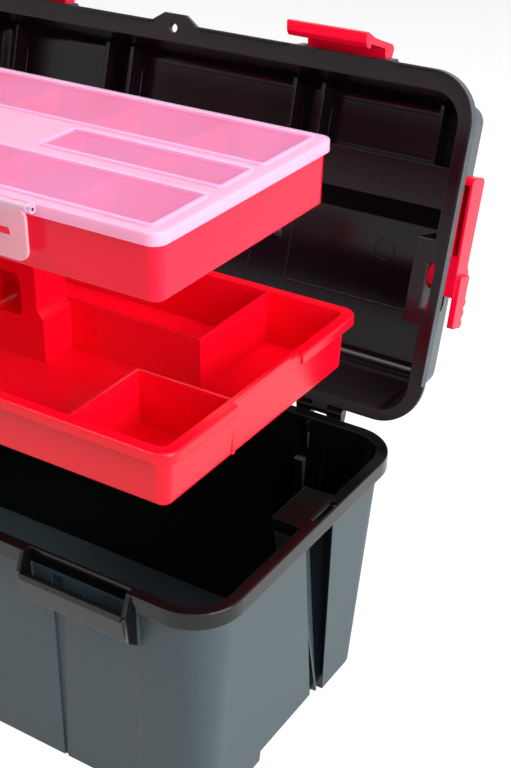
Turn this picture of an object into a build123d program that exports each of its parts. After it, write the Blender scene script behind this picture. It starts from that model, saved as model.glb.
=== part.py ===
from build123d import *
import math
import os

# A tool case shown open: tub on the floor, lid leaned back, tote tray and organizer lifted out.
# Millimetres, +Z up, front towards -Y, origin on the floor under the middle of the tub.
# The lid and the latches are modelled closed and then turned open about the hinge pins.

os.makedirs("parts", exist_ok=True)

# Tub
rim_width = 508.0
rim_depth = 260.0
rim_height = 198.0
rim_corner = 36.0
rim_plate = 3.0
rim_overhang = 6.0
skirt_height = 12.0
skirt_wall = 2.5
wall = 3.0
floor = 3.5
draft = 4.6
foot_recess = 1.5
foot_width = 9.0

# Side flute that passes the handle's lock lug, and the front and back flutes
carry_y = 14.0
side_flute_top = 20.0
side_flute_base = 9.4
side_flute_base_y = 47.0
side_flute_depth = 6.5
flute_rib = 1.2
flute_top_x = 127.0
flute_base_x = 109.0
flute_top_half = 5.0
flute_base_half = 1.6
flute_depth = 1.5
notch_height = 10.0
notch_depth = 7.0
notch_low_y = -36.0
notch_high_y = 55.0

# Ledge ribs that carry the tote tray
ledge_height = 162.3
ledge_rib = 8.0
ledge_rib_x = 172.0
ledge_bearing = 5.4

# Hinge
open_angle = 105.7
hinge_behind_rim = 2.5
hinge_above_rim = 4.5
knuckle_radius = 4.2
hinge_pin_radius = 1.6
hinge_x = 180.0
knuckle_length = 13.0
knuckle_gap = 0.4

# Lid
seam = 0.3
lid_height = 81.0
lid_flange = 3.2
lid_wall = 3.0
lid_draft = 9.5
lid_flange_side = 12.5
lid_flange_front = 15.0
lid_rim_gap_side = 7.5
lid_rim_gap_front = 2.5
lid_skirt_drop = 5.0
lid_skirt_wall = 2.0
lid_corner = 36.0
lid_wall_corner = 25.0
lid_top_round = 14.0
lid_back_gap = 6.0

# Groove for the folded handle across the lid, and the scooped hand recess behind it
groove_mid_y = -44.7
groove_width = 26.0
groove_depth = 18.0
groove_back_lean = 18.0
scoop_top_half = 82.0
scoop_floor_half = 50.0
scoop_back_y = 22.0
scoop_back_depth = 4.0
lid_rib = 3.0
lid_rib_pairs = (81.0, 107.0)
lid_rib_single = 210.0
lid_rib_depth = 19.0

# Side pockets of the lid, where the handle's hubs turn
pocket_wall_x = 238.0
pocket_low_y = -12.0
pocket_high_y = 45.0
pocket_top = 252.0
slot_low_x = 246.3
slot_high_x = 252.3
slot_low_y = 2.0
slot_high_y = 36.0

# Carry handle
handle_pivot_above = 28.0
hub_radius = 11.5
hub_gap = 3.0
arm_inner_x = 254.5
arm_thickness = 9.5
arm_above = 6.5
arm_below = 15.0
handle_front = 62.0
foot_inner_x = 262.3
foot_outer_x = 267.0
foot_back = 50.0
elbow_x = 241.5
grip_width = 21.0
grip_height = 14.0
lug_reach = 30.0
lug_half = 6.0
lug_thickness = 4.0
lug_turn = 60.0
handle_pin_radius = 4.0
handle_pin_gap = 0.05
boss_radius = 9.0
boss_length = 6.0

# Front latches and their keepers
latch_x = 148.0
latch_width = 65.0
latch_thickness = 4.5
latch_pivot_in = 3.0
latch_pivot_above = 15.0
latch_rest = 4.5
latch_barrel = 5.0
latch_pin_radius = 2.0
latch_drop = 28.0
cheek_gap = 1.2
cheek_thickness = 6.0
keeper_half = 42.0
keeper_plate = 3.0
keeper_reach = 5.8
keeper_top = 184.0
keeper_base = 161.0
catch_height = 4.0
catch_reach = 2.0
catch_gap = 0.35

# Padlock eye in the middle of the front
eye_half = 10.0
eye_foot_half = 21.0
eye_reach = 7.0
eye_hole_in = 1.5
eye_radius = 3.4
eye_thickness = 12.0

# Tote tray
tote_half_width = 220.0
tote_half_depth = 117.4
tote_height = 43.0
tote_lip = 6.0
tote_lip_height = 7.7
tote_lip_plate = 2.6
tote_lip_edge = 2.2
tote_wall = 2.4
tote_corner = 12.0
tote_draft = 3.0
tote_lift = 134.2
tote_forward = 5.0
tote_notch_low_y = -42.0
tote_notch_high_y = 38.0
long_wall_y = 17.0
bin_wall_x = 138.0
bin_wall_y = -41.0
back_wall_x = 147.0
arch_half = 29.0
arch_foot = 34.0
arch_post = 14.5
arch_top = 36.0
arch_bar = 11.0
arch_low_y = -14.0

# Organizer
box_half_width = 220.0
box_front = 125.0
box_back = 66.0
box_height = 46.0
box_wall = 2.0
box_corner = 9.0
box_draft = 1.5
box_inset = 3.0
box_lid_skirt = 8.0
box_lid_plate = 2.0
box_lid_gap = 0.4
box_foot = 2.0
box_lift = 193.7
box_forward = 36.0
rail = 2.6
rail_height = 1.6
divider = 1.6
divider_pitch = 71.0
box_seat_gap = 0.3
clip_mid_x = 99.0
clip_width = 64.0
clip_height = 33.0
clip_thickness = 2.2
clip_knuckle = 2.6
clip_pin_radius = 1.0
box_pin_radius = 1.2
box_hinge_x = 150.0
box_knuckle = 3.0

# Worked out from the above
slope = math.tan(math.radians(draft))
lid_slope = math.tan(math.radians(lid_draft))
base_width = rim_width - 2 * (rim_overhang + rim_height * slope)
base_depth = rim_depth - 2 * (rim_overhang + rim_height * slope)
base_corner = rim_corner - rim_overhang - rim_height * slope
seat = rim_height + seam
hinge_y = rim_depth / 2 + hinge_behind_rim
hinge_z = rim_height + hinge_above_rim
lid_top = rim_height + lid_height
lid_front = rim_depth / 2 + lid_rim_gap_front
lid_back = hinge_y - knuckle_radius - seam
lid_side = rim_width / 2 + lid_rim_gap_side
pivot_z = rim_height + handle_pivot_above
arm_outer_x = arm_inner_x + arm_thickness
hinge_axis = Axis((0, hinge_y, hinge_z), (-1, 0, 0))
SIDES = (-1, 1)


def side_plane(side, x):
    """A plane facing out of the left or right side: local x is side * y, local y is z."""
    return Plane(origin=(side * x, 0, 0), x_dir=(0, side, 0), z_dir=(side, 0, 0))


def end_plane(end, y):
    """A plane facing out of the front (end -1) or back: local x is -end * x, local y is z."""
    return Plane(origin=(0, end * y, 0), x_dir=(-end, 0, 0), z_dir=(0, end, 0))


def front_plane(end):
    """A plane on the leaning front (end -1) or back wall's outer face, local y up the wall."""
    lean = math.radians(draft)
    return Plane(
        origin=(0, end * base_depth / 2, 0),
        x_dir=(-end, 0, 0),
        z_dir=(0, end * math.cos(lean), -math.sin(lean)),
    )


def across(x):
    """A plane square to X, with local x along Y and local y along Z."""
    return Plane(origin=(x, 0, 0), x_dir=(0, 1, 0), z_dir=(1, 0, 0))


def strip(low_mid, low_half, low, high_mid, high_half, high):
    """A leaning strip that is low_half wide at its foot and high_half wide at its head."""
    Polygon(
        (low_mid - low_half, low),
        (low_mid + low_half, low),
        (high_mid + high_half, high),
        (high_mid - high_half, high),
        align=None,
    )


def wall_depth(z):
    """Half the tub's outside depth at a height."""
    return base_depth / 2 + z * slope


# Room inside the tub, with the flutes and the foot notches left out of it
with BuildPart() as tub_room:
    with BuildSketch(Plane.XY.offset(floor)):
        RectangleRounded(
            base_width - 2 * (wall - floor * slope),
            base_depth - 2 * (wall - floor * slope),
            base_corner - wall + floor * slope,
        )
    extrude(amount=rim_height - floor + 1, taper=-draft)
    for side in SIDES:
        with BuildSketch(side_plane(side, base_width / 2 - side_flute_depth - wall)):
            strip(
                side * side_flute_base_y,
                side_flute_base + wall,
                0,
                side * carry_y,
                side_flute_top + wall,
                rim_height + 2,
            )
        extrude(amount=rim_width / 2, mode=Mode.SUBTRACT)
        with BuildSketch(side_plane(side, base_width / 2 - notch_depth - wall)):
            with Locations((side * (notch_low_y + notch_high_y) / 2, 0)):
                Rectangle(notch_high_y - notch_low_y + 2 * wall, 2 * (notch_height + wall))
        extrude(amount=rim_width / 2, mode=Mode.SUBTRACT)

with BuildPart() as tub:
    with BuildSketch(Plane.XY.offset(rim_height)):
        RectangleRounded(rim_width, rim_depth, rim_corner)
    extrude(amount=-skirt_height)
    with BuildSketch(Plane.XY.offset(rim_height - rim_plate)):
        RectangleRounded(rim_width - 2 * skirt_wall, rim_depth - 2 * skirt_wall, rim_corner - skirt_wall)
    extrude(amount=-skirt_height, mode=Mode.SUBTRACT)
    with BuildSketch():
        RectangleRounded(base_width, base_depth, base_corner)
    extrude(amount=rim_height, taper=-draft)
    # Keepers: the rim is cut away at each latch, and a catch plate stands in front of the wall
    for side in SIDES:
        wall_top = wall_depth(rim_height)
        with Locations((side * latch_x, -(wall_top + rim_overhang), rim_height)):
            Box(2 * keeper_half, 2 * rim_overhang, 2 * skirt_height, mode=Mode.SUBTRACT)
        reach = rim_depth / 2 + keeper_reach
        with BuildSketch(across(side * latch_x)):
            Polygon(
                (-wall_depth(keeper_base) + 1, keeper_base),
                (-reach + keeper_plate, keeper_base),
                (-reach, keeper_top - catch_height),
                (-reach - catch_reach, keeper_top - catch_height),
                (-reach - catch_reach + 0.8, keeper_top),
                (-reach + keeper_plate, keeper_top),
                (-reach + 2 * keeper_plate, keeper_base + keeper_plate),
                (-wall_depth(keeper_base) + 1, keeper_base + keeper_plate),
                align=None,
            )
        extrude(amount=keeper_half, both=True)
        for edge in SIDES:
            with BuildSketch(across(side * latch_x + edge * (keeper_half + keeper_plate / 2))):
                Polygon(
                    (-wall_top + wall / 2, rim_height),
                    (-rim_depth / 2, rim_height),
                    (-reach, keeper_top),
                    (-reach + keeper_plate, keeper_base),
                    (-wall_depth(keeper_base - skirt_height) + wall / 2, keeper_base - skirt_height),
                    align=None,
                )
            extrude(amount=keeper_plate / 2, both=True)
        with BuildSketch(across(side * latch_x)):
            Polygon(
                (-wall_depth(keeper_base) + 1, keeper_base),
                (-reach + keeper_plate + 1, keeper_base),
                (-reach + keeper_plate, keeper_top - 6),
                (-wall_depth(keeper_top) + 1, keeper_top - 10),
                align=None,
            )
        extrude(amount=1.2, both=True)
    # Flutes in the walls, open under the rim
    for side in SIDES:
        with BuildSketch(side_plane(side, base_width / 2 - side_flute_depth)):
            strip(
                side * side_flute_base_y,
                side_flute_base,
                -1,
                side * carry_y,
                side_flute_top,
                rim_height - rim_plate,
            )
        extrude(amount=rim_width / 2 - skirt_wall - base_width / 2 + side_flute_depth, mode=Mode.SUBTRACT)
        with Locations((side * base_width / 2, (notch_low_y + notch_high_y) / 2, 0)):
            Box(2 * notch_depth, notch_high_y - notch_low_y, 2 * notch_height, mode=Mode.SUBTRACT)
    for end in SIDES:
        with BuildSketch(front_plane(end)):
            for side in SIDES:
                strip(
                    side * flute_base_x,
                    flute_base_half,
                    -1,
                    side * flute_top_x,
                    flute_top_half,
                    rim_height - skirt_height - 4,
                )
        extrude(amount=-flute_depth, mode=Mode.SUBTRACT)
    add(tub_room.part, mode=Mode.SUBTRACT)
    # Thin rib down the middle of each side flute
    for side in SIDES:
        with BuildSketch(side_plane(side, base_width / 2 - side_flute_depth - wall / 2)):
            strip(side * side_flute_base_y, flute_rib, notch_height / 2, side * carry_y, flute_rib, rim_height - 40)
        extrude(amount=wall / 2 + side_flute_depth - 0.5)
    # Slots for the handle's lock lugs, through the rim over the side flutes
    for side in SIDES:
        with Locations((side * (slot_low_x + slot_high_x) / 2, (slot_low_y + slot_high_y - 4) / 2, rim_height)):
            Box(slot_high_x - slot_low_x, slot_high_y - slot_low_y - 6, 4 * rim_plate, mode=Mode.SUBTRACT)
    # Ledge ribs inside the front and back walls
    for end in SIDES:
        ledge_face = wall_depth(ledge_height) - wall - ledge_bearing
        ledge_foot = (ledge_face + wall - base_depth / 2) / slope
        for rib_x in (-ledge_rib_x, 0, ledge_rib_x):
            with BuildSketch(across(rib_x)):
                Polygon(
                    (end * ledge_face, ledge_height),
                    (end * (wall_depth(ledge_height) - wall / 2), ledge_height),
                    (end * (wall_depth(ledge_foot) - wall / 2), ledge_foot),
                    (end * ledge_face, ledge_foot),
                    align=None,
                )
            extrude(amount=ledge_rib / 2, both=True)
    # Thin clips above the back ledge ribs
    for side in SIDES:
        with BuildSketch(across(side * (ledge_rib_x + ledge_rib / 2))):
            clip_top = rim_height - rim_plate
            clip_foot = ledge_height + tote_lip_height + 2
            Polygon(
                (wall_depth(clip_foot) - wall - 0.7, clip_foot),
                (wall_depth(clip_foot) - wall / 2, clip_foot),
                (wall_depth(clip_top) - wall / 2, clip_top),
                (wall_depth(clip_top) - wall - 3.2, clip_top),
                align=None,
            )
        extrude(amount=1.2, both=True)
    # Shallow recess under the floor, which leaves a standing rim
    with BuildSketch():
        RectangleRounded(
            base_width - 2 * foot_width - 2 * notch_depth,
            base_depth - 2 * foot_width,
            base_corner - foot_width / 2,
        )
    extrude(amount=foot_recess, mode=Mode.SUBTRACT)
    # Padlock eye
    with BuildSketch(Plane.XY.offset(rim_height)):
        Polygon(
            (-eye_foot_half, 1 - wall_depth(rim_height)),
            (-eye_foot_half, -rim_depth / 2),
            (-eye_half, -rim_depth / 2 - eye_reach),
            (eye_half, -rim_depth / 2 - eye_reach),
            (eye_foot_half, -rim_depth / 2),
            (eye_foot_half, 1 - wall_depth(rim_height)),
            align=None,
        )
    extrude(amount=-eye_thickness)
    with Locations((0, -rim_depth / 2 + eye_hole_in, rim_height)):
        Cylinder(eye_radius, 4 * eye_thickness, mode=Mode.SUBTRACT)
    # Hinge knuckles: two on the tub for each one on the lid
    for side in SIDES:
        for step in SIDES:
            with BuildSketch(across(side * hinge_x + step * (knuckle_length + knuckle_gap))):
                with Locations((hinge_y, hinge_z)):
                    Circle(knuckle_radius)
                Polygon(
                    (rim_depth / 2 - skirt_wall, rim_height - skirt_height),
                    (rim_depth / 2 + 1, rim_height - skirt_height),
                    (hinge_y + knuckle_radius, hinge_z - 1),
                    (hinge_y, hinge_z),
                    (hinge_y - knuckle_radius + 0.5, hinge_z - 1),
                    (lid_back + 0.5, rim_height),
                    (rim_depth / 2 - skirt_wall, rim_height - 0.5),
                    align=None,
                )
                with Locations((hinge_y, hinge_z)):
                    Circle(hinge_pin_radius, mode=Mode.SUBTRACT)
            extrude(amount=knuckle_length / 2, both=True)
    # Soft edges along the rim
    rim_top_edges = tub.edges().filter_by(Plane.XY).filter_by_position(Axis.Z, rim_height - 0.01, rim_height + 0.01)
    long_edges = rim_top_edges.filter_by(lambda e: e.length > 100)
    fillet(long_edges, radius=0.8)
tub.part.label = "tub"
export_step(tub.part, "parts/tub.step")

# Room inside the lid, with the groove, the scoop and the side pockets left out of it
lid_wall_side = lid_side - lid_flange_side + lid_wall
lid_wall_front = lid_front - lid_flange_front + lid_wall
lid_wall_back = lid_back - lid_back_gap
lid_mid_y = (lid_wall_back - lid_wall_front) / 2
groove_floor = lid_top - groove_depth


def groove(grow):
    """Section of the groove across the lid, grown by a wall for the bulge under it."""
    front_y = groove_mid_y - groove_width / 2 - grow
    back_y = groove_mid_y + groove_width / 2 + grow
    Polygon(
        (front_y, groove_floor - grow),
        (back_y, groove_floor - grow),
        (back_y + groove_back_lean * (1 + grow / groove_depth), lid_top),
        (back_y + groove_back_lean * (1 + grow / groove_depth), lid_top + 5),
        (front_y, lid_top + 5),
        align=None,
    )


def scoop(grow):
    """The hand recess behind the groove, grown by a wall for the bulge under it."""
    front_y = groove_mid_y + groove_width / 2
    ends = ((front_y - 1, groove_depth, scoop_floor_half), (scoop_back_y + grow, scoop_back_depth, scoop_top_half - 7))
    with BuildPart(mode=Mode.PRIVATE) as shape:
        for y, depth, floor_half in ends:
            with BuildSketch(Plane(origin=(0, y, 0), x_dir=(1, 0, 0), z_dir=(0, -1, 0))):
                Polygon(
                    (-floor_half - grow, lid_top - depth - grow),
                    (floor_half + grow, lid_top - depth - grow),
                    (scoop_top_half + grow, lid_top + 2),
                    (-scoop_top_half - grow, lid_top + 2),
                    align=None,
                )
        loft(ruled=True)
    return shape.part


with BuildPart() as lid_room:
    with BuildSketch(Plane.XY.offset(seat)):
        with Locations((0, lid_mid_y)):
            RectangleRounded(
                2 * (lid_wall_side - lid_wall),
                lid_wall_back + lid_wall_front - 2 * lid_wall,
                lid_wall_corner - lid_wall,
            )
    extrude(amount=lid_top - lid_wall - seat, taper=lid_draft)
    top_loop = lid_room.faces().sort_by(Axis.Z)[-1].edges()
    fillet(top_loop, radius=lid_top_round - lid_wall)
    with BuildSketch(across(-lid_side)):
        groove(lid_wall)
    extrude(amount=2 * lid_side, mode=Mode.SUBTRACT)
    add(scoop(lid_wall), mode=Mode.SUBTRACT)
    for side in SIDES:
        with BuildSketch(side_plane(side, pocket_wall_x - lid_wall)):
            with Locations((side * (pocket_low_y + pocket_high_y) / 2, (seat + pocket_top + lid_wall) / 2)):
                Rectangle(pocket_high_y - pocket_low_y + 2 * lid_wall, pocket_top + lid_wall - seat)
        extrude(amount=rim_width, mode=Mode.SUBTRACT)

with BuildPart() as lid:
    with BuildSketch(Plane.XY.offset(seat)):
        with Locations((0, lid_mid_y)):
            RectangleRounded(2 * lid_wall_side, lid_wall_back + lid_wall_front, lid_wall_corner)
    extrude(amount=lid_top - seat, taper=lid_draft)
    fillet(lid.faces().sort_by(Axis.Z)[-1].edges(), radius=lid_top_round)
    # Flange over the tub's rim, with a skirt along the front and the sides
    flange_mid_y = (lid_back - lid_front) / 2
    with BuildSketch(Plane.XY.offset(seat)):
        with Locations((0, flange_mid_y)):
            RectangleRounded(2 * lid_side, lid_back + lid_front, lid_corner)
    extrude(amount=lid_flange)
    with BuildSketch(Plane.XY.offset(seat)):
        with Locations((0, flange_mid_y)):
            RectangleRounded(2 * lid_side, lid_back + lid_front, lid_corner)
            RectangleRounded(
                2 * (lid_side - lid_skirt_wall),
                lid_back + lid_front - 2 * lid_skirt_wall,
                lid_corner - lid_skirt_wall,
                mode=Mode.SUBTRACT,
            )
        with Locations((0, lid_back)):
            Rectangle(2 * lid_side + 2, 2 * lid_corner, mode=Mode.SUBTRACT)
        with Locations((-latch_x, -lid_front), (latch_x, -lid_front)):
            Rectangle(2 * (keeper_half + keeper_plate + 1), 4 * lid_skirt_wall, mode=Mode.SUBTRACT)
        with Locations((0, -lid_front)):
            Rectangle(2 * eye_foot_half + 2, 4 * lid_skirt_wall, mode=Mode.SUBTRACT)
    extrude(amount=-lid_skirt_drop)
    # Groove, scoop and pockets from outside
    with BuildSketch(across(-lid_side)):
        groove(0)
    extrude(amount=2 * lid_side, mode=Mode.SUBTRACT)
    add(scoop(0), mode=Mode.SUBTRACT)
    for side in SIDES:
        with BuildSketch(side_plane(side, pocket_wall_x)):
            pocket_base = seat + lid_flange
            with Locations((side * (pocket_low_y + pocket_high_y) / 2, (pocket_base + pocket_top) / 2)):
                RectangleRounded(pocket_high_y - pocket_low_y, pocket_top - pocket_base, 4)
        extrude(amount=lid_side - pocket_wall_x, mode=Mode.SUBTRACT)
    add(lid_room.part, mode=Mode.SUBTRACT)
    # Slots in the flange under the pockets
    for side in SIDES:
        with Locations((side * (slot_low_x + slot_high_x) / 2, (slot_low_y + slot_high_y) / 2, seat)):
            Box(slot_high_x - slot_low_x, slot_high_y - slot_low_y, 4 * lid_flange, mode=Mode.SUBTRACT)
    # Ribs between the groove and the front wall
    for side in SIDES:
        for rib_x in (*lid_rib_pairs, lid_rib_single):
            with BuildSketch(across(side * rib_x)):
                rib_top = lid_top - lid_wall / 2
                Polygon(
                    (groove_mid_y - groove_width / 2 - lid_wall / 2, rib_top - lid_rib_depth),
                    (-lid_wall_front + lid_wall / 2 + lid_height * lid_slope, rib_top - lid_rib_depth),
                    (-lid_wall_front + lid_wall / 2 + lid_height * lid_slope, rib_top - lid_top_round),
                    (-lid_wall_front + lid_wall / 2 + lid_height * lid_slope + 6, rib_top - 3),
                    (groove_mid_y - groove_width / 2 - lid_wall / 2, rib_top),
                    align=None,
                )
            extrude(amount=lid_rib / 2, both=True)
    # Bosses for the handle's pivot pins
    for side in SIDES:
        with BuildSketch(side_plane(side, pocket_wall_x - lid_wall - boss_length)):
            with Locations((side * carry_y, pivot_z)):
                Circle(boss_radius)
        extrude(amount=boss_length + 1)
        with BuildSketch(side_plane(side, pocket_wall_x - lid_wall - boss_length + 2)):
            with Locations((side * carry_y, pivot_z)):
                Circle(handle_pin_radius)
        extrude(amount=boss_length + lid_wall + 2, mode=Mode.SUBTRACT)
    # Latch cheeks on the front wall
    latch_y = -(rim_depth / 2 - latch_pivot_in)
    latch_z = rim_height + latch_pivot_above
    for side in SIDES:
        for edge in SIDES:
            cheek_mid = side * latch_x + edge * (latch_width / 2 + cheek_gap + cheek_thickness / 2)
            with BuildSketch(across(cheek_mid)):
                with BuildLine():
                    Polyline(
                        (-lid_wall_front + lid_wall / 2 + 2, latch_z + 14),
                        (latch_y - 2, latch_z + latch_barrel + 2),
                        (latch_y - latch_barrel - 2, latch_z),
                        (latch_y - latch_barrel, seat + 1),
                        (-lid_front + 1, seat),
                        (-lid_wall_front + lid_wall / 2 + 0.5, seat),
                        (-lid_wall_front + lid_wall / 2 + 2, latch_z + 14),
                    )
                make_face()
                with Locations((latch_y, latch_z)):
                    Circle(latch_pin_radius, mode=Mode.SUBTRACT)
            extrude(amount=cheek_thickness / 2, both=True)
    # Padlock eye
    with BuildSketch(Plane.XY.offset(seat)):
        Polygon(
            (-eye_foot_half, 2 - lid_front),
            (-eye_foot_half, -lid_front),
            (-eye_half, -lid_front - eye_reach),
            (eye_half, -lid_front - eye_reach),
            (eye_foot_half, -lid_front),
            (eye_foot_half, 2 - lid_front),
            align=None,
        )
    extrude(amount=lid_flange)
    with Locations((0, -rim_depth / 2 + eye_hole_in, seat)):
        Cylinder(eye_radius, 4 * lid_flange, mode=Mode.SUBTRACT)
    # Hinge knuckles
    for side in SIDES:
        with BuildSketch(across(side * hinge_x)):
            with Locations((hinge_y, hinge_z)):
                Circle(knuckle_radius)
            Polygon(
                (lid_back - 2, seat),
                (hinge_y, hinge_z - knuckle_radius),
                (hinge_y, hinge_z + knuckle_radius),
                (lid_wall_back - 1, seat + 3 * lid_flange),
                (lid_wall_back - 1, seat + 1),
                align=None,
            )
            with Locations((hinge_y, hinge_z)):
                Circle(hinge_pin_radius + 0.05, mode=Mode.SUBTRACT)
        extrude(amount=knuckle_length / 2, both=True)
lid.part = lid.part.rotate(hinge_axis, open_angle)
lid.part.label = "lid"
export_step(lid.part, "parts/lid.step")

# Hinge pins, held in the tub's knuckles
with BuildPart() as hinge_pins:
    for side in SIDES:
        with BuildSketch(across(side * hinge_x)):
            with Locations((hinge_y, hinge_z)):
                Circle(hinge_pin_radius)
        extrude(amount=1.5 * knuckle_length + knuckle_gap, both=True)
hinge_pins.part.label = "hinge_pins"
export_step(hinge_pins.part, "parts/hinge_pins.step")

# Carry handle: two hubs, two arms and the grip bar, folded into the lid
grip_low = groove_floor + 1
grip_high = grip_low + grip_height
with BuildPart() as carry_handle:
    for side in SIDES:
        with BuildSketch(side_plane(side, pocket_wall_x + hub_gap)):
            with Locations((side * carry_y, pivot_z)):
                Circle(hub_radius)
        extrude(amount=arm_outer_x - pocket_wall_x - hub_gap)
        with BuildSketch(side_plane(side, arm_inner_x)):
            with BuildLine():
                FilletPolyline(
                    (side * (carry_y + hub_radius + 2), pivot_z - hub_radius),
                    (side * -handle_front, pivot_z - arm_below),
                    (side * -handle_front, pivot_z + arm_above),
                    (side * (carry_y + hub_radius + 2), pivot_z + arm_above),
                    radius=5,
                    close=True,
                )
            make_face()
        extrude(amount=arm_thickness)
        # Channel along the underside of the arm
        with Locations((side * (arm_inner_x + arm_outer_x) / 2, (carry_y - 12 - handle_front) / 2, pivot_z - 10)):
            Box(arm_thickness - 5, handle_front + carry_y - 24, 22, mode=Mode.SUBTRACT)
        # Foot outside the flange, with thumb ridges
        with BuildSketch(side_plane(side, foot_inner_x)):
            with BuildLine():
                FilletPolyline(
                    (side * (carry_y - 4), pivot_z - 10),
                    (side * foot_back, pivot_z - 8),
                    (side * foot_back, pivot_z + 6),
                    (side * (carry_y - 4), pivot_z + arm_above),
                    radius=2.5,
                    close=True,
                )
            make_face()
            for ridge_y in (foot_back - 19, foot_back - 11, foot_back - 3):
                with Locations((side * ridge_y, pivot_z + 5)):
                    Circle(3.4)
        extrude(amount=foot_outer_x - foot_inner_x)
        # Lock lug, which drops through the slots when the handle is up
        with BuildSketch(side_plane(side, slot_low_x + 1)):
            reach_y = math.sin(math.radians(lug_turn))
            reach_z = -math.cos(math.radians(lug_turn))
            Polygon(
                (side * (carry_y + lug_half * reach_z), pivot_z - lug_half * reach_y),
                (
                    side * (carry_y + lug_reach * reach_y + lug_half * reach_z),
                    pivot_z + lug_reach * reach_z - lug_half * reach_y,
                ),
                (
                    side * (carry_y + lug_reach * reach_y - lug_half * reach_z),
                    pivot_z + lug_reach * reach_z + lug_half * reach_y,
                ),
                (side * (carry_y - lug_half * reach_z), pivot_z + lug_half * reach_y),
                align=None,
            )
        extrude(amount=lug_thickness)
        with BuildSketch(side_plane(side, pocket_wall_x)):
            with Locations((side * carry_y, pivot_z)):
                Circle(handle_pin_radius + handle_pin_gap)
        extrude(amount=arm_outer_x - pocket_wall_x + 1, mode=Mode.SUBTRACT)
    # Grip bar in the groove, with ends that lean out over the lid's sides to the arms
    with BuildSketch(across(-elbow_x)):
        with Locations((groove_mid_y, (grip_low + grip_high) / 2)):
            RectangleRounded(grip_width, grip_height, 5)
    extrude(amount=2 * elbow_x)
    for side in SIDES:
        with BuildSketch(Plane(origin=(0, groove_mid_y, 0), x_dir=(1, 0, 0), z_dir=(0, -1, 0))):
            Polygon(
                (side * (elbow_x - 4), grip_low),
                (side * (elbow_x - 4), grip_high),
                (side * elbow_x, grip_high),
                (side * arm_outer_x, pivot_z + arm_above),
                (side * arm_outer_x, pivot_z),
                (side * arm_inner_x, pivot_z),
                (side * arm_inner_x, pivot_z + arm_above + 2),
                (side * (elbow_x + 1), grip_low),
                align=None,
            )
        extrude(amount=grip_width / 2 - 1, both=True)
carry_handle.part = carry_handle.part.rotate(hinge_axis, open_angle)
carry_handle.part.label = "carry_handle"
export_step(carry_handle.part, "parts/carry_handle.step")

# Pivot pins of the handle, pressed into the lid's bosses
with BuildPart() as handle_pins:
    for side in SIDES:
        with BuildSketch(side_plane(side, pocket_wall_x - lid_wall - boss_length + 2)):
            with Locations((side * carry_y, pivot_z)):
                Circle(handle_pin_radius)
        extrude(amount=arm_outer_x - 1 - (pocket_wall_x - lid_wall - boss_length + 2))
handle_pins.part = handle_pins.part.rotate(hinge_axis, open_angle)
handle_pins.part.label = "handle_pins"
export_step(handle_pins.part, "parts/handle_pins.step")

# Front latches, modelled hooked, swung out to their rest and then opened with the lid
catch_face = rim_depth / 2 + keeper_reach + catch_reach
nose_top = keeper_top - catch_height - catch_gap
for latch_name, side in (("latch_left", -1), ("latch_right", 1)):
    with BuildPart() as latch:
        plate_in = -(catch_face + catch_gap + 1)
        plate_out = plate_in - latch_thickness
        with BuildSketch(across(side * latch_x)):
            with BuildLine():
                Polyline(
                    (latch_y + 2, latch_z + latch_barrel - 1),
                    (plate_out + 2.5, latch_z + 5),
                    (plate_out, latch_z + 1.5),
                    (plate_out - 0.5, latch_z - latch_drop),
                    (plate_out - 3, nose_top - 8),
                    (plate_out - 2, nose_top - 10.5),
                    (plate_in + 0.5, nose_top - 8),
                    (plate_in + catch_reach + 1.2, nose_top - 4.5),
                    (plate_in + catch_reach + 1.2, nose_top - 0.6),
                    (plate_in + catch_reach + 0.6, nose_top),
                    (plate_in, nose_top),
                    (plate_in, latch_z - latch_barrel - 4),
                    (latch_y - 1, latch_z - latch_barrel + 0.2),
                    (latch_y + 2, latch_z + latch_barrel - 1),
                )
            make_face()
            with Locations((latch_y, latch_z)):
                Circle(latch_barrel)
        extrude(amount=latch_width / 2, both=True)
        with BuildSketch(across(side * latch_x)):
            with Locations((latch_y, latch_z)):
                Circle(latch_pin_radius + 0.05)
        extrude(amount=latch_width, both=True, mode=Mode.SUBTRACT)
    swing = Axis((0, latch_y, latch_z), (-1, 0, 0))
    latch.part = latch.part.rotate(swing, latch_rest).rotate(hinge_axis, open_angle)
    latch.part.label = latch_name
    export_step(latch.part, "parts/" + latch_name + ".step")

# Latch pins, held in the cheeks
with BuildPart() as latch_pins:
    for side in SIDES:
        with BuildSketch(across(side * latch_x)):
            with Locations((latch_y, latch_z)):
                Circle(latch_pin_radius)
        extrude(amount=latch_width / 2 + cheek_gap + cheek_thickness, both=True)
latch_pins.part = latch_pins.part.rotate(hinge_axis, open_angle)
latch_pins.part.label = "latch_pins"
export_step(latch_pins.part, "parts/latch_pins.step")

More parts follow.
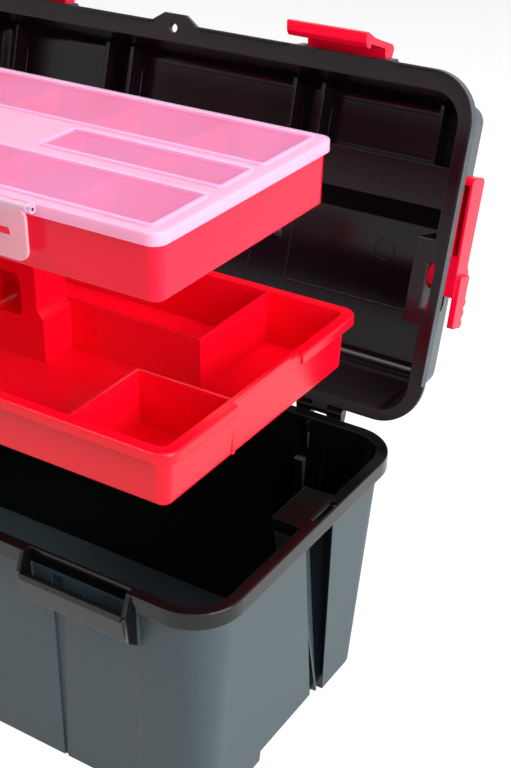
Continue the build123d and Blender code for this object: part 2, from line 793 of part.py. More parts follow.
# Tote tray, lifted out of the tub and a little towards the front
tote_z = ledge_height + tote_lip_height + seam + tote_lift
tote_y = -tote_forward
tote_slope = math.tan(math.radians(tote_draft))
with BuildPart() as tote_tray:
    with BuildSketch(Plane.XY.offset(tote_z)):
        with Locations((0, tote_y)):
            RectangleRounded(2 * tote_half_width, 2 * tote_half_depth, tote_corner)
    extrude(amount=-tote_lip_height)
    fillet(tote_tray.faces().sort_by(Axis.Z)[-1].edges(), radius=1.8)
    with BuildSketch(Plane.XY.offset(tote_z - tote_lip_plate)):
        with Locations((0, tote_y)):
            RectangleRounded(
                2 * (tote_half_width - tote_lip_edge),
                2 * (tote_half_depth - tote_lip_edge),
                tote_corner - tote_lip_edge,
            )
    extrude(amount=-tote_lip_height, mode=Mode.SUBTRACT)
    # The lip is narrower along the middle of each side
    notch_mid = tote_y + (tote_notch_low_y + tote_notch_high_y) / 2
    with Locations((-tote_half_width, notch_mid, tote_z), (tote_half_width, notch_mid, tote_z)):
        Box(
            2 * tote_lip - 2,
            tote_notch_high_y - tote_notch_low_y,
            4 * tote_lip_height,
            mode=Mode.SUBTRACT,
        )
    with BuildSketch(Plane.XY.offset(tote_z)):
        with Locations((0, tote_y)):
            RectangleRounded(
                2 * (tote_half_width - tote_lip),
                2 * (tote_half_depth - tote_lip),
                tote_corner - tote_lip / 2,
            )
    extrude(amount=-tote_height, taper=tote_draft)
    fillet(tote_tray.faces().sort_by(Axis.Z)[0].edges(), radius=2.5)
    with BuildSketch(Plane.XY.offset(tote_z)):
        with Locations((0, tote_y)):
            RectangleRounded(
                2 * (tote_half_width - tote_lip - tote_wall),
                2 * (tote_half_depth - tote_lip - tote_wall),
                tote_corner - tote_lip / 2 - tote_wall,
            )
    extrude(amount=-(tote_height - tote_wall), taper=tote_draft, mode=Mode.SUBTRACT)
    # Compartment walls
    wall_base = tote_z - tote_height + tote_wall / 2
    wall_top = tote_z - 1.5
    inner_x = tote_half_width - tote_lip - tote_wall
    inner_y = tote_half_depth - tote_lip - tote_wall
    with BuildSketch(Plane.XY.offset(wall_base)):
        with Locations((0, tote_y + long_wall_y + tote_forward)):
            Rectangle(2 * back_wall_x + tote_wall, tote_wall)
        for side in SIDES:
            back_length = inner_y - long_wall_y - tote_forward
            with Locations((side * back_wall_x, tote_y + long_wall_y + tote_forward + back_length / 2)):
                Rectangle(tote_wall, back_length)
            front_length = inner_y + bin_wall_y + tote_forward
            with Locations((side * bin_wall_x, tote_y + bin_wall_y + tote_forward - front_length / 2)):
                Rectangle(tote_wall, front_length)
            side_length = inner_x - bin_wall_x + tote_wall
            with Locations((side * (bin_wall_x - tote_wall / 2 + side_length / 2), tote_y + bin_wall_y + tote_forward)):
                Rectangle(side_length, tote_wall)
    extrude(amount=wall_top - wall_base)
    # Carrying arch on a broad pedestal in the middle
    arch_front = arch_low_y
    arch_back = long_wall_y + tote_wall / 2
    with BuildSketch(Plane(origin=(0, arch_back, 0), x_dir=(1, 0, 0), z_dir=(0, -1, 0))):
        with BuildLine():
            FilletPolyline(
                (-arch_foot, wall_base),
                (-arch_foot, tote_z - 6),
                (-arch_half, tote_z),
                (-arch_half, tote_z + arch_top),
                (arch_half, tote_z + arch_top),
                (arch_half, tote_z),
                (arch_foot, tote_z - 6),
                (arch_foot, wall_base),
                radius=4,
                close=True,
            )
        make_face()
        with Locations((0, tote_z + (arch_top - arch_bar - 8) / 2)):
            RectangleRounded(
                2 * (arch_half - arch_post),
                arch_top - arch_bar + 8,
                5,
                mode=Mode.SUBTRACT,
            )
    extrude(amount=arch_back - arch_front)
    # Trough along the top of the arch
    with BuildSketch(across(0)):
        with Locations(((arch_front + arch_back) / 2, tote_z + arch_top + 22)):
            Circle(26)
    extrude(amount=arch_half + 3, both=True, mode=Mode.SUBTRACT)
    # Feet
    with BuildSketch(Plane.XY.offset(tote_z - tote_height + 1)):
        for side in SIDES:
            for end in SIDES:
                with Locations((side * (inner_x - 26), tote_y + end * (inner_y - 18))):
                    RectangleRounded(36, 20, 5)
    extrude(amount=-3)
tote_tray.part.label = "tote_tray"
export_step(tote_tray.part, "parts/tote_tray.step")

# Organizer base, lifted above the tote tray and towards the front
box_depth = box_front + box_back
box_mid_y = (box_back - box_front) / 2
box_bottom = ledge_height + tote_lip_height + seam + arch_top + box_seat_gap + box_lift
box_top = box_bottom + box_height
body_top = box_top - box_lid_plate - box_lid_gap
with BuildPart() as organizer_base:
    with BuildSketch(Plane.XY.offset(body_top)):
        with Locations((0, box_mid_y)):
            RectangleRounded(
                2 * (box_half_width - box_inset), box_depth - 2 * box_inset, box_corner - box_inset / 2
            )
    extrude(amount=-(body_top - box_bottom - box_foot), taper=box_draft)
    fillet(organizer_base.faces().sort_by(Axis.Z)[0].edges(), radius=2)
    with BuildSketch(Plane.XY.offset(body_top)):
        with Locations((0, box_mid_y)):
            RectangleRounded(
                2 * (box_half_width - box_inset - box_wall),
                box_depth - 2 * box_inset - 2 * box_wall,
                box_corner - box_inset / 2 - box_wall,
            )
    extrude(amount=-(body_top - box_bottom - box_foot - box_wall), taper=box_draft, mode=Mode.SUBTRACT)
    # Dividers: two long walls and the cross walls between them
    with BuildSketch(Plane.XY.offset(box_bottom + box_foot + box_wall / 2)):
        row = (box_depth - 2 * box_inset) / 3
        for cut in (-0.5, 0.5):
            with Locations((0, box_mid_y + cut * row)):
                Rectangle(2 * (box_half_width - box_inset) - 3 * box_wall, divider)
        for column in range(-2, 3):
            with Locations((column * divider_pitch, box_mid_y)):
                Rectangle(divider, box_depth - 2 * box_inset - 3 * box_wall)
    extrude(amount=body_top - 1.5 - box_bottom - box_foot - box_wall / 2)
    # Nubs that the clips' slots go over
    nub_z = box_top - 3 - clip_height / 2
    nub_reach = 2 * clip_knuckle - 0.6
    for side in SIDES:
        with Locations((side * clip_mid_x, -box_front + (box_inset + 1 - nub_reach) / 2, nub_z)):
            Box(clip_width - 26, nub_reach + box_inset + 1, 3.8)
    # Feet
    with BuildSketch(Plane.XY.offset(box_bottom + box_foot + 0.5)):
        for side in SIDES:
            for end in SIDES:
                with Locations((side * (box_half_width - 34), box_mid_y + end * (box_depth / 2 - 20))):
                    RectangleRounded(40, 18, 4)
    extrude(amount=-box_foot - 0.5)
    # Hinge ears along the back edge
    box_hinge_y = box_back + 1.5
    box_hinge_z = box_top - box_lid_skirt + 1
    for side in SIDES:
        for step in SIDES:
            with BuildSketch(across(side * box_hinge_x + step * 12.3)):
                with Locations((box_hinge_y, box_hinge_z)):
                    Circle(box_knuckle)
                Polygon(
                    (box_back - box_inset - box_wall / 2, box_hinge_z - 8),
                    (box_hinge_y + 1, box_hinge_z - 2.6),
                    (box_hinge_y - 1, box_hinge_z + 2),
                    (box_back - box_inset - box_wall / 2, box_hinge_z - 0.5),
                    align=None,
                )
                with Locations((box_hinge_y, box_hinge_z)):
                    Circle(box_pin_radius, mode=Mode.SUBTRACT)
            extrude(amount=4, both=True)
organizer_base.part.label = "organizer_base"
export_step(organizer_base.part, "parts/organizer_base.step")

# Organizer lid: a thin clear plate with a skirt and raised rails
with BuildPart() as organizer_lid:
    with BuildSketch(Plane.XY.offset(box_top)):
        with Locations((0, box_mid_y)):
            RectangleRounded(2 * box_half_width, box_depth, box_corner)
    extrude(amount=-box_lid_skirt)
    fillet(organizer_lid.faces().sort_by(Axis.Z)[-1].edges(), radius=1.2)
    with BuildSketch(Plane.XY.offset(box_top - box_lid_plate)):
        with Locations((0, box_mid_y)):
            RectangleRounded(
                2 * (box_half_width - box_wall), box_depth - 2 * box_wall, box_corner - box_wall
            )
    extrude(amount=-box_lid_skirt, mode=Mode.SUBTRACT)
    rail_low = -119.0
    rail_frames = (
        (-212.0, -62.0, 212.0, rail_low),
        (-212.0, 58.0, 212.0, -6.0),
        (73.0, -51.0, 211.0, -13.0),
        (-211.0, -51.0, -73.0, -13.0),
    )
    with BuildSketch(Plane.XY.offset(box_top - 0.5)):
        for low_x, low_y, high_x, high_y in rail_frames:
            with Locations(((low_x + high_x) / 2, (low_y + high_y) / 2)):
                RectangleRounded(high_x - low_x, abs(high_y - low_y), 5)
                RectangleRounded(
                    high_x - low_x - 2 * rail, abs(high_y - low_y) - 2 * rail, 3, mode=Mode.SUBTRACT
                )
    extrude(amount=rail_height + 0.5)
    # Room for the base's hinge ears in the back skirt
    for side in SIDES:
        for step in SIDES:
            with Locations((side * box_hinge_x + step * 12.3, box_hinge_y, box_hinge_z - 2)):
                Box(8.8, 9, 14, mode=Mode.SUBTRACT)
        with BuildSketch(across(side * box_hinge_x)):
            with Locations((box_hinge_y, box_hinge_z)):
                Circle(box_knuckle)
            Polygon(
                (box_back - 1, box_hinge_z - 1),
                (box_hinge_y, box_hinge_z - box_knuckle),
                (box_hinge_y, box_hinge_z + box_knuckle),
                (box_back - 1, box_top - 2),
                align=None,
            )
            with Locations((box_hinge_y, box_hinge_z)):
                Circle(box_pin_radius + 0.05, mode=Mode.SUBTRACT)
        extrude(amount=7.5, both=True)
        # Ears for the clips on the front skirt
        clip_axis_y = -box_front - clip_knuckle
        clip_axis_z = box_top - 3
        for edge in SIDES:
            with BuildSketch(across(side * clip_mid_x + edge * (clip_width / 2 + 2.3))):
                with Locations((clip_axis_y, clip_axis_z)):
                    Circle(clip_knuckle)
                with Locations((clip_axis_y + clip_knuckle / 2 + 0.5, clip_axis_z)):
                    Rectangle(clip_knuckle + 1, 2 * clip_knuckle)
                with Locations((clip_axis_y, clip_axis_z)):
                    Circle(clip_pin_radius, mode=Mode.SUBTRACT)
            extrude(amount=2, both=True)
organizer_lid.part.label = "organizer_lid"
export_step(organizer_lid.part, "parts/organizer_lid.step")

# Organizer clips, which hang from the lid over the base's front wall
for clip_name, side in (("organizer_clip_left", -1), ("organizer_clip_right", 1)):
    with BuildPart() as clip:
        clip_y = clip_axis_y - clip_knuckle + clip_thickness / 2
        with BuildSketch(end_plane(-1, -clip_y - clip_thickness / 2)):
            with Locations((side * clip_mid_x, clip_axis_z - clip_height / 2)):
                RectangleRounded(clip_width, clip_height, 7)
            with Locations((side * clip_mid_x, clip_axis_z - clip_height / 2)):
                RectangleRounded(clip_width - 24, 5, 2.4, mode=Mode.SUBTRACT)
        extrude(amount=clip_thickness)
        with BuildSketch(across(side * clip_mid_x)):
            with Locations((clip_axis_y, clip_axis_z)):
                Circle(clip_knuckle - 0.1)
        extrude(amount=clip_width / 2, both=True)
        with BuildSketch(across(side * clip_mid_x)):
            with Locations((clip_axis_y, clip_axis_z)):
                Circle(clip_pin_radius + 0.05)
        extrude(amount=clip_width, both=True, mode=Mode.SUBTRACT)
    clip.part.label = clip_name
    export_step(clip.part, "parts/" + clip_name + ".step")

# Pins of the organizer's hinge and of its clips
with BuildPart() as organizer_hinge_pins:
    for side in SIDES:
        with BuildSketch(across(side * box_hinge_x)):
            with Locations((box_hinge_y, box_hinge_z)):
                Circle(box_pin_radius)
        extrude(amount=16.3, both=True)
organizer_hinge_pins.part.label = "organizer_hinge_pins"
export_step(organizer_hinge_pins.part, "parts/organizer_hinge_pins.step")

with BuildPart() as organizer_clip_pins:
    for side in SIDES:
        with BuildSketch(across(side * clip_mid_x)):
            with Locations((clip_axis_y, clip_axis_z)):
                Circle(clip_pin_radius)
        extrude(amount=clip_width / 2 + 4.3, both=True)
organizer_clip_pins.part.label = "organizer_clip_pins"
export_step(organizer_clip_pins.part, "parts/organizer_clip_pins.step")
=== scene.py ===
import math

import bmesh
import bpy
from mathutils import Matrix, Vector


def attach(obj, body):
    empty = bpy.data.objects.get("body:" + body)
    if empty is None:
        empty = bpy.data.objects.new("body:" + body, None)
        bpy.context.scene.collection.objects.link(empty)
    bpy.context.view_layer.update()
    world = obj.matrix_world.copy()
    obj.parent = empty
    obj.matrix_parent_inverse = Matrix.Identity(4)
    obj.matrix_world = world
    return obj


# Tool case, open, with the tote tray and the organizer lifted out. Metres, front towards -Y.
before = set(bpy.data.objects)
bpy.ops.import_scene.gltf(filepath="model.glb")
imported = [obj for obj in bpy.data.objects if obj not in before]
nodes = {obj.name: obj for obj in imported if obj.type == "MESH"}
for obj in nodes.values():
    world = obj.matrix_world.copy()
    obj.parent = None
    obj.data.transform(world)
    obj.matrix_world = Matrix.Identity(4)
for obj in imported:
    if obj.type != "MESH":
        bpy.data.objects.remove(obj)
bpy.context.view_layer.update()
scene = bpy.context.scene

MM = 0.001
HINGE = Vector((0.0, 0.1325, 0.2025))
OPEN = math.radians(105.7)
# Latch keepers and the front creases of the tub
KEEPER_X = 0.148
KEEPER_HALF = 0.0465
KEEPER_FRONT = (-0.1246, -0.1236)
KEEPER_FOOT = (0.1465, 0.1475)
CREASE_X = 0.193
CREASE_LEAN = 0.08
CREASE_HALF = 0.0012
CREASE_STEP = 3.2
CREASE_TOP = 0.186
# Heights between which the tub turns from slate to glossy
RIM_FOOT = (0.1852, 0.1858)
# Where the lid's outer sides start and where its handle groove runs, on the closed lid
LID_SIDES = (("X", 0.222, 0.228), ("Y", 0.094, 0.1))
GROOVE_Y = -0.0447
GROOVE_HALF = (0.022, 0.024)
# Clear panels of the organizer lid: low x, low y, high x, high y
PANELS = (
    (-0.209, -0.116, 0.209, -0.065),
    (-0.209, -0.003, 0.209, 0.055),
    (0.076, -0.048, 0.208, -0.016),
    (-0.208, -0.048, -0.076, -0.016),
)
PANEL_BLUR = 0.0008
LID_SKIRT = (0.4445, 0.4455)
BEVEL_SAMPLES = 4
MILK_IOR = 1.45
RED_SHADE = 0.94
RED_SCATTER = (0.02, 0.004, 0.004)


def srgb(r, g, b):
    """A colour from 0-255 display values to linear light."""

    def lin(c):
        c = c / 255.0
        return c / 12.92 if c <= 0.04045 else ((c + 0.055) / 1.055) ** 2.4

    return (lin(r), lin(g), lin(b), 1.0)


# Materials


class Net:
    """A small helper that adds and links shader nodes."""

    def __init__(self, name):
        self.mat = bpy.data.materials.new(name)
        self.mat.use_nodes = True
        self.tree = self.mat.node_tree
        self.bsdf = self.tree.nodes["Principled BSDF"]
        self.out = self.tree.nodes["Material Output"]

    def add(self, kind, **settings):
        n = self.tree.nodes.new(kind)
        for key, value in settings.items():
            setattr(n, key, value)
        return n

    def link(self, a, b):
        self.tree.links.new(a, b)

    def put(self, socket, value):
        """Links an output to a socket, or sets the socket to a plain value."""
        if isinstance(value, bpy.types.NodeSocket):
            self.link(value, socket)
        else:
            socket.default_value = value

    def set(self, **values):
        for key, value in values.items():
            self.bsdf.inputs[key.replace("_", " ")].default_value = value


def coords(net):
    """Object coordinates, which stay with a piece when its body moves."""
    return net.add("ShaderNodeTexCoord").outputs["Object"]


def axes(net, vector):
    """A node whose outputs X, Y and Z are those of a vector."""
    sep = net.add("ShaderNodeSeparateXYZ")
    net.link(vector, sep.inputs[0])
    return sep


def own_normal(net, output):
    """A face's normal in the piece's own axes."""
    geometry = net.add("ShaderNodeNewGeometry")
    turn = net.add("ShaderNodeVectorTransform", vector_type="NORMAL")
    turn.convert_from = "WORLD"
    turn.convert_to = "OBJECT"
    net.link(geometry.outputs[output], turn.inputs[0])
    return turn.outputs[0]


def shut_lid(net, vector, center):
    """Turns a vector of the open lid back to the closed lid's axes."""
    turn = net.add("ShaderNodeVectorRotate", rotation_type="AXIS_ANGLE")
    turn.inputs["Center"].default_value = center
    turn.inputs["Axis"].default_value = (1.0, 0.0, 0.0)
    turn.inputs["Angle"].default_value = OPEN
    net.link(vector, turn.inputs["Vector"])
    return turn.outputs[0]


def noise(net, scale, detail=2.0, rough=0.5):
    n = net.add("ShaderNodeTexNoise")
    n.inputs["Scale"].default_value = scale
    n.inputs["Detail"].default_value = detail
    n.inputs["Roughness"].default_value = rough
    net.link(coords(net), n.inputs["Vector"])
    return n.outputs["Fac"]


def span(net, value, low, high, to_low, to_high):
    m = net.add("ShaderNodeMapRange")
    m.inputs["From Min"].default_value = low
    m.inputs["From Max"].default_value = high
    m.inputs["To Min"].default_value = to_low
    m.inputs["To Max"].default_value = to_high
    net.link(value, m.inputs["Value"])
    return m.outputs["Result"]


def math_node(net, op, a, b=None):
    m = net.add("ShaderNodeMath", operation=op)
    net.put(m.inputs[0], a)
    if b is not None:
        net.put(m.inputs[1], b)
    return m.outputs[0]


def mix_color(net, fac, a, b):
    m = net.add("ShaderNodeMix", data_type="RGBA")
    net.link(fac, m.inputs["Factor"])
    net.put(m.inputs[6], a)
    net.put(m.inputs[7], b)
    return m.outputs[2]


def edge_normal(net, radius, bump=None, strength=1.0, distance=0.001):
    """Rounds the shading over edges, with an optional surface grain on top."""
    bv = net.add("ShaderNodeBevel", samples=BEVEL_SAMPLES)
    bv.inputs["Radius"].default_value = radius
    if bump is None:
        net.link(bv.outputs["Normal"], net.bsdf.inputs["Normal"])
        return
    b = net.add("ShaderNodeBump")
    b.inputs["Strength"].default_value = strength
    b.inputs["Distance"].default_value = distance
    net.link(bump, b.inputs["Height"])
    net.link(bv.outputs["Normal"], b.inputs["Normal"])
    net.link(b.outputs["Normal"], net.bsdf.inputs["Normal"])


def tub_material():
    """Fine-textured slate outside; glossy near-black from the rim upwards and inside."""
    net = Net("tub_shell_plastic")
    sep = axes(net, coords(net))
    rim = span(net, sep.outputs["Z"], *RIM_FOOT, 0.0, 1.0)
    nsep = axes(net, own_normal(net, "Normal"))
    # A face is inside when it looks back towards the middle of the tub
    far_x = math_node(net, "MULTIPLY", sep.outputs["X"], 4.0)
    far_y = math_node(net, "MULTIPLY", sep.outputs["Y"], 8.0)
    dot_x = math_node(net, "MULTIPLY", nsep.outputs["X"], far_x)
    dot_y = math_node(net, "MULTIPLY", nsep.outputs["Y"], far_y)
    inside = span(net, math_node(net, "ADD", dot_x, dot_y), -0.12, -0.06, 1.0, 0.0)
    gloss = math_node(net, "MAXIMUM", rim, inside)
    # The latch keepers stand in front of the wall and are glossy too
    off_mid = math_node(net, "SUBTRACT", math_node(net, "ABSOLUTE", sep.outputs["X"]), KEEPER_X)
    keeper = math_node(net, "LESS_THAN", math_node(net, "ABSOLUTE", off_mid), KEEPER_HALF)
    proud = span(net, sep.outputs["Y"], *KEEPER_FRONT, 1.0, 0.0)
    high = span(net, sep.outputs["Z"], *KEEPER_FOOT, 0.0, 1.0)
    keeper = math_node(net, "MULTIPLY", math_node(net, "MULTIPLY", keeper, proud), high)
    gloss = math_node(net, "MAXIMUM", gloss, keeper)
    grain = noise(net, 900.0, 3.0, 0.6)
    cloud = noise(net, 9.0, 2.0, 0.5)
    speck = noise(net, 2600.0, 2.0, 0.6)
    slate = mix_color(net, cloud, srgb(34, 45, 50), srgb(42, 54, 59))
    slate = mix_color(net, span(net, speck, 0.4, 0.6, 0.0, 1.0), slate, srgb(60, 75, 81))
    net.link(mix_color(net, gloss, slate, srgb(9, 9, 10)), net.bsdf.inputs["Base Color"])
    net.link(span(net, gloss, 0.0, 1.0, 0.46, 0.17), net.bsdf.inputs["Roughness"])
    both = math_node(net, "ADD", math_node(net, "MULTIPLY", speck, 0.45), grain)
    height = math_node(net, "MULTIPLY", both, span(net, gloss, 0.0, 1.0, 1.0, 0.04))
    # Crease that sets the rounded corners off from the front and the back
    down = math_node(net, "SUBTRACT", CREASE_TOP, sep.outputs["Z"])
    lean = math_node(net, "MULTIPLY", down, CREASE_LEAN)
    across = math_node(net, "ADD", math_node(net, "ABSOLUTE", sep.outputs["X"]), lean)
    crease = span(net, across, CREASE_X - CREASE_HALF, CREASE_X + CREASE_HALF, 0.0, CREASE_STEP)
    end_wall = math_node(net, "GREATER_THAN", math_node(net, "ABSOLUTE", nsep.outputs["Y"]), 0.9)
    height = math_node(net, "ADD", height, math_node(net, "MULTIPLY", crease, end_wall))
    edge_normal(net, 0.0012, height, 0.9, 0.0003)
    net.set(Specular_IOR_Level=0.3)
    return net.mat


def lid_material():
    """Glossy near-black inside, tinted warm purple-brown as a painted reflection of the red trays;
    fine-textured slate on the outer faces.
    """
    net = Net("lid_shell_plastic")
    # On the closed lid up is +Z and its hollow opens downwards
    place = axes(net, shut_lid(net, coords(net), HINGE))
    way = axes(net, shut_lid(net, own_normal(net, "True Normal"), (0.0, 0.0, 0.0)))
    outward = way.outputs["Z"]
    for axis, low, high in LID_SIDES:
        sign = math_node(net, "SIGN", place.outputs[axis])
        near = span(net, math_node(net, "ABSOLUTE", place.outputs[axis]), low, high, 0.0, 1.0)
        push = math_node(net, "MULTIPLY", math_node(net, "MULTIPLY", way.outputs[axis], sign), near)
        outward = math_node(net, "ADD", outward, push)
    # The walls of the handle groove face each other across its middle
    off = math_node(net, "SUBTRACT", place.outputs["Y"], GROOVE_Y)
    near = span(net, math_node(net, "ABSOLUTE", off), *GROOVE_HALF, -1.0, 0.0)
    turned = math_node(net, "MULTIPLY", way.outputs["Y"], math_node(net, "SIGN", off))
    outward = math_node(net, "ADD", outward, math_node(net, "MULTIPLY", turned, near))
    outer = span(net, outward, 0.1, 0.2, 0.0, 1.0)
    wave = noise(net, 7.0, 2.0, 0.45)
    fine = noise(net, 900.0, 2.0, 0.5)
    fleck = span(net, fine, 0.4, 0.6, 0.0, 1.0)
    slate = mix_color(net, fleck, srgb(42, 50, 55), srgb(64, 74, 79))
    # Near-black inside with a warm purple-brown tint, a painted reflection of the red trays, varied
    # at random by the noise
    dark_with_painted_reflection = mix_color(net, wave, srgb(14, 6, 11), srgb(28, 15, 23))
    net.link(mix_color(net, outer, dark_with_painted_reflection, slate), net.bsdf.inputs["Base Color"])
    sheen = span(net, wave, 0.3, 0.7, 0.14, 0.24)
    rough = math_node(net, "ADD", sheen, math_node(net, "MULTIPLY", outer, 0.24))
    net.link(rough, net.bsdf.inputs["Roughness"])
    height = math_node(net, "MULTIPLY", fine, span(net, outer, 0.0, 1.0, 0.06, 1.0))
    edge_normal(net, 0.0014, height, 0.7, 0.00025)
    net.set(Specular_IOR_Level=0.28)
    return net.mat


def red_material(name, color, rough, scatter=0.0):
    """Glossy red plastic, a little cloudy; the trays also let some light in."""
    net = Net(name)
    cloud = noise(net, 11.0, 2.0, 0.5)
    shade = (*(RED_SHADE * c for c in color[:3]), 1.0)
    net.link(mix_color(net, cloud, color, shade), net.bsdf.inputs["Base Color"])
    net.link(span(net, cloud, 0.3, 0.7, rough - 0.03, rough + 0.04), net.bsdf.inputs["Roughness"])
    edge_normal(net, 0.0011)
    net.set(Specular_IOR_Level=0.24)
    if scatter:
        net.set(Subsurface_Weight=scatter, Subsurface_Radius=RED_SCATTER, Subsurface_Scale=0.25)
    return net.mat


def milky_surface(net, clear_color, milk_color, milk_share, amount):
    """Lets part of the light straight through; the plastic reflects or scatters the amount."""
    clear = net.add("ShaderNodeBsdfTransparent")
    clear.inputs["Color"].default_value = clear_color
    milk = net.add("ShaderNodeBsdfTranslucent")
    net.put(milk.inputs["Color"], milk_color)
    body = net.add("ShaderNodeMixShader")
    body.inputs[0].default_value = milk_share
    net.link(net.bsdf.outputs[0], body.inputs[1])
    net.link(milk.outputs[0], body.inputs[2])
    mix = net.add("ShaderNodeMixShader")
    net.put(mix.inputs[0], amount)
    net.link(clear.outputs[0], mix.inputs[1])
    net.link(body.outputs[0], mix.inputs[2])
    net.link(mix.outputs[0], net.out.inputs["Surface"])
    edge_normal(net, 0.0008)


def clip_material():
    """Milky clear plastic of the organizer's clips."""
    net = Net("clear_clip_plastic")
    color = srgb(246, 226, 236)
    net.set(Base_Color=color, Roughness=0.25, IOR=MILK_IOR, Specular_IOR_Level=0.5)
    milky_surface(net, color, color, 0.45, 0.55)
    return net.mat


def lid_window_material():
    """The organizer lid: milky along its rim and between its panels, clearer in the panels."""
    net = Net("clear_lid_plastic")
    sep = axes(net, coords(net))

    def beyond(axis, low, high):
        """How far a point is outside a span of one axis; negative inside."""
        off = math_node(net, "SUBTRACT", sep.outputs[axis], (low + high) / 2)
        return math_node(net, "SUBTRACT", math_node(net, "ABSOLUTE", off), (high - low) / 2)

    outside = None
    for low_x, low_y, high_x, high_y in PANELS:
        edge = math_node(net, "MAXIMUM", beyond("X", low_x, high_x), beyond("Y", low_y, high_y))
        outside = edge if outside is None else math_node(net, "MINIMUM", outside, edge)
    frost = span(net, outside, -PANEL_BLUR, PANEL_BLUR, 0.0, 1.0)
    skirt = span(net, sep.outputs["Z"], *LID_SKIRT, 1.0, 0.0)
    frost = math_node(net, "MAXIMUM", frost, skirt)
    cloud = noise(net, 14.0, 2.0, 0.5)
    net.set(Roughness=0.16, IOR=MILK_IOR, Specular_IOR_Level=0.5)
    tint = mix_color(net, frost, srgb(206, 150, 226), srgb(252, 220, 246))
    net.link(tint, net.bsdf.inputs["Base Color"])
    amount = span(net, frost, 0.0, 1.0, 0.15, 0.5)
    amount = math_node(net, "ADD", amount, span(net, cloud, 0.3, 0.7, -0.04, 0.04))
    milky_surface(net, srgb(250, 238, 250), tint, 0.4, amount)
    return net.mat


def steel_material():
    net = Net("pin_steel")
    net.set(Base_Color=srgb(74, 74, 78), Metallic=1.0, Roughness=0.34)
    return net.mat


TUB = tub_material()
LID = lid_material()
RED = red_material("red_plastic", srgb(236, 8, 48), 0.2)
TRAY = red_material("tray_red_plastic", srgb(244, 6, 34), 0.18, 0.1)
BOX = red_material("organizer_red_plastic", srgb(240, 6, 46), 0.2, 0.1)
CLEAR = lid_window_material()
CLIP = clip_material()
STEEL = steel_material()

SLOT_MATERIAL = {
    "tub": TUB,
    "lid": LID,
    "hinge_pins": STEEL,
    "handle_pins": STEEL,
    "latch_pins": STEEL,
    "organizer_hinge_pins": STEEL,
    "organizer_clip_pins": STEEL,
    "carry_handle": RED,
    "latch_left": RED,
    "latch_right": RED,
    "tote_tray": TRAY,
    "organizer_base": BOX,
    "organizer_lid": CLEAR,
    "organizer_clip_left": CLIP,
    "organizer_clip_right": CLIP,
}


def smooth(obj, angle=32.0):
    """Smooth shading with sharp edges kept above an angle."""
    for poly in obj.data.polygons:
        poly.use_smooth = True
    obj.data.set_sharp_from_angle(angle=math.radians(angle))


for name, obj in nodes.items():
    obj.data.materials.clear()
    obj.data.materials.append(SLOT_MATERIAL[name])
    smooth(obj)

# Details moulded in the lid, given in the closed lid's own millimetres
CEILING = 276.0
BAND = 258.0
# Sections across a ring and across a ridge: sideways and up from the ceiling
RING_SECTION = ((-0.5, 0.2), (-0.35, -0.35), (0.0, -0.5), (0.35, -0.35), (0.5, 0.2))
RING_STEPS = 48
LINE_SECTION = ((-0.5, 0.3), (-0.5, -0.4), (-0.25, -0.9), (0.25, -0.9), (0.5, -0.4), (0.5, 0.3))
LINE_WIDTH = 1.6
LINE_HEIGHT = 0.7


def opened(x, y, z):
    """A point of the closed lid, in millimetres, to where it is on the open lid, in metres."""
    dy = y * MM - HINGE.y
    dz = z * MM - HINGE.z
    turned_y = HINGE.y + dy * math.cos(OPEN) + dz * math.sin(OPEN)
    turned_z = HINGE.z - dy * math.sin(OPEN) + dz * math.cos(OPEN)
    return Vector((x * MM, turned_y, turned_z))


def lid_piece(name, points, faces):
    """A mesh on the lid, from points of the closed lid in millimetres."""
    me = bpy.data.meshes.new(name)
    me.from_pydata([opened(*p) for p in points], [], faces)
    me.validate()
    bm = bmesh.new()
    bm.from_mesh(me)
    bmesh.ops.recalc_face_normals(bm, faces=bm.faces)
    bm.to_mesh(me)
    bm.free()
    piece = bpy.data.objects.new(name, me)
    scene.collection.objects.link(piece)
    piece.data.materials.append(LID)
    smooth(piece, 40.0)
    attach(piece, "lid")


def ejector_ring(name, x, y, ceiling, radius):
    """A thin raised ring on the lid's ceiling."""
    points = []
    faces = []
    n = len(RING_SECTION)
    for i in range(RING_STEPS):
        turn = 2 * math.pi * i / RING_STEPS
        here = i * n
        after = (i + 1) % RING_STEPS * n
        for k, (out, down) in enumerate(RING_SECTION):
            r = radius + out
            points.append((x + r * math.cos(turn), y + r * math.sin(turn), ceiling + down))
            beside = (k + 1) % n
            faces.append((here + k, here + beside, after + beside, after + k))
    lid_piece(name, points, faces)


def ceiling_line(name, start, end, ceiling):
    """A low rounded ridge between two points of the lid's ceiling."""
    along = Vector((end[0] - start[0], end[1] - start[1])).normalized()
    side = Vector((-along.y, along.x))
    points = []
    for x, y in (start, end):
        for out, down in LINE_SECTION:
            off = side * out * LINE_WIDTH
            points.append((x + off.x, y + off.y, ceiling + down * LINE_HEIGHT))
    n = len(LINE_SECTION)
    faces = [(k, (k + 1) % n, n + (k + 1) % n, n + k) for k in range(n)]
    faces.append(tuple(range(n)))
    faces.append(tuple(range(2 * n - 1, n - 1, -1)))
    lid_piece(name, points, faces)


for side, word in ((-1, "left"), (1, "right")):
    ejector_ring("lid_ejector_mark_band_" + word, side * 170.0, -45.0, BAND, 6.0)
    ejector_ring("lid_ejector_mark_ceiling_" + word, side * 176.0, 14.0, CEILING, 8.5)
    ejector_ring("lid_ejector_mark_back_" + word, side * 120.0, 74.0, CEILING, 6.0)
    ceiling_line("lid_panel_edge_side_" + word, (side * 90.0, 10.0), (side * 90.0, 58.0), CEILING)
    ceiling_line("lid_panel_edge_back_" + word, (side * 90.0, 58.0), (side * 205.0, 58.0), CEILING)
    ceiling_line("lid_panel_edge_middle_" + word, (side * 54.0, 42.0), (side * 50.0, 76.0), CEILING)

# Backdrop: plain white for the camera, and softer light from the world itself
WORLD_LIGHT = 0.36
WHITE = (1.0, 1.0, 1.0, 1.0)


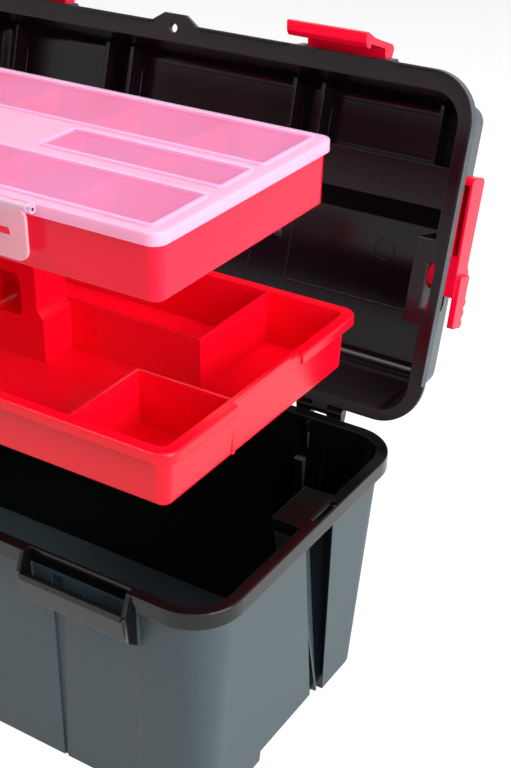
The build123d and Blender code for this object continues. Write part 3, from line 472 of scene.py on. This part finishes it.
def looking_rays(tree):
    """1 for rays from the camera, off a gloss or through clear plastic, and 0 for the rest."""
    path = tree.nodes.new("ShaderNodeLightPath")
    most = path.outputs["Is Camera Ray"]
    for kind in ("Is Transmission Ray", "Is Glossy Ray"):
        node = tree.nodes.new("ShaderNodeMath")
        node.operation = "MAXIMUM"
        tree.links.new(most, node.inputs[0])
        tree.links.new(path.outputs[kind], node.inputs[1])
        most = node.outputs[0]
    return most


world = bpy.data.worlds.new("studio")
scene.world = world
world.use_nodes = True
sky = world.node_tree
sky.nodes.clear()
sky_out = sky.nodes.new("ShaderNodeOutputWorld")
sky_mix = sky.nodes.new("ShaderNodeMixShader")
sky.links.new(looking_rays(sky), sky_mix.inputs[0])
for place, strength in ((1, WORLD_LIGHT), (2, 1.0)):
    shade = sky.nodes.new("ShaderNodeBackground")
    shade.inputs["Color"].default_value = WHITE
    shade.inputs["Strength"].default_value = strength
    sky.links.new(shade.outputs[0], sky_mix.inputs[place])
sky.links.new(sky_mix.outputs[0], sky_out.inputs["Surface"])


def area(name, loc, target, size, power):
    """A square lamp at loc that faces the target."""
    data = bpy.data.lights.new(name, "AREA")
    data.energy = power
    data.shape = "RECTANGLE"
    data.size = size
    data.size_y = size
    lamp = bpy.data.objects.new(name, data)
    scene.collection.objects.link(lamp)
    lamp.location = loc
    d = Vector(target) - Vector(loc)
    lamp.rotation_mode = "QUATERNION"
    lamp.rotation_quaternion = d.to_track_quat("-Z", "Y")


area("key_left_top", (-0.7, -0.8, 1.8), (0.05, 0.0, 0.25), 0.9, 13.0)
area("right_soft", (1.7, -0.25, 0.8), (0.1, 0.0, 0.25), 1.2, 52.0)
area("top_soft", (0.2, 0.0, 2.0), (0.0, 0.0, 0.2), 1.4, 26.0)

# White floor that catches a faint contact shadow
FLOOR_SIZE = 20.0
FLOOR_DROP = 0.0002
FLOOR_GREY = (0.42, 0.42, 0.42, 1.0)
FLOOR_GLOW = 0.66
bpy.ops.mesh.primitive_plane_add(size=FLOOR_SIZE, location=(0.0, 0.0, -FLOOR_DROP))
floor = bpy.context.object
floor.name = "studio_floor"
fl = Net("studio_floor")
fl.set(Base_Color=FLOOR_GREY, Roughness=0.9, Specular_IOR_Level=0.1)
glow = fl.add("ShaderNodeEmission")
glow.inputs["Color"].default_value = WHITE
glow.inputs["Strength"].default_value = FLOOR_GLOW
lit = fl.add("ShaderNodeAddShader")
fl.link(fl.bsdf.outputs[0], lit.inputs[0])
fl.link(glow.outputs[0], lit.inputs[1])
pick = fl.add("ShaderNodeMixShader")
fl.link(looking_rays(fl.tree), pick.inputs[0])
fl.link(fl.bsdf.outputs[0], pick.inputs[1])
fl.link(lit.outputs[0], pick.inputs[2])
fl.link(pick.outputs[0], fl.out.inputs["Surface"])
floor.data.materials.append(fl.mat)

# Camera, matched to the photograph
cam_data = bpy.data.cameras.new("camera")
cam = bpy.data.objects.new("camera", cam_data)
scene.collection.objects.link(cam)
scene.camera = cam
AZ, EL, ROLL = math.radians(32.165), math.radians(29.287), math.radians(0.469)
EYE = (0.6165, -0.6578, 0.7280)
# The photograph's size, its centre of view and the focal length, in pixels
WIDTH, HEIGHT, FOCAL = 511, 768, 1349.281
CENTRE_X, CENTRE_Y = 255.0, 384.0
SENSOR = 36.0
fwd = -Vector((math.sin(AZ) * math.cos(EL), -math.cos(AZ) * math.cos(EL), math.sin(EL)))
right = fwd.cross(Vector((0, 0, 1))).normalized()
up = right.cross(fwd)
r2 = math.cos(ROLL) * right + math.sin(ROLL) * up
u2 = -math.sin(ROLL) * right + math.cos(ROLL) * up
cam.matrix_world = Matrix(
    (
        (r2.x, u2.x, -fwd.x, EYE[0]),
        (r2.y, u2.y, -fwd.y, EYE[1]),
        (r2.z, u2.z, -fwd.z, EYE[2]),
        (0, 0, 0, 1),
    )
)
cam_data.sensor_fit = "AUTO"
cam_data.sensor_width = SENSOR
cam_data.lens = FOCAL * SENSOR / HEIGHT
cam_data.shift_x = (WIDTH / 2 - CENTRE_X) / HEIGHT
cam_data.shift_y = (CENTRE_Y - HEIGHT / 2) / HEIGHT
cam_data.clip_start = 0.01
cam_data.clip_end = 50.0

scene.view_settings.view_transform = "Standard"
scene.view_settings.look = "None"
scene.cycles.max_bounces = 10
scene.cycles.transparent_max_bounces = 16
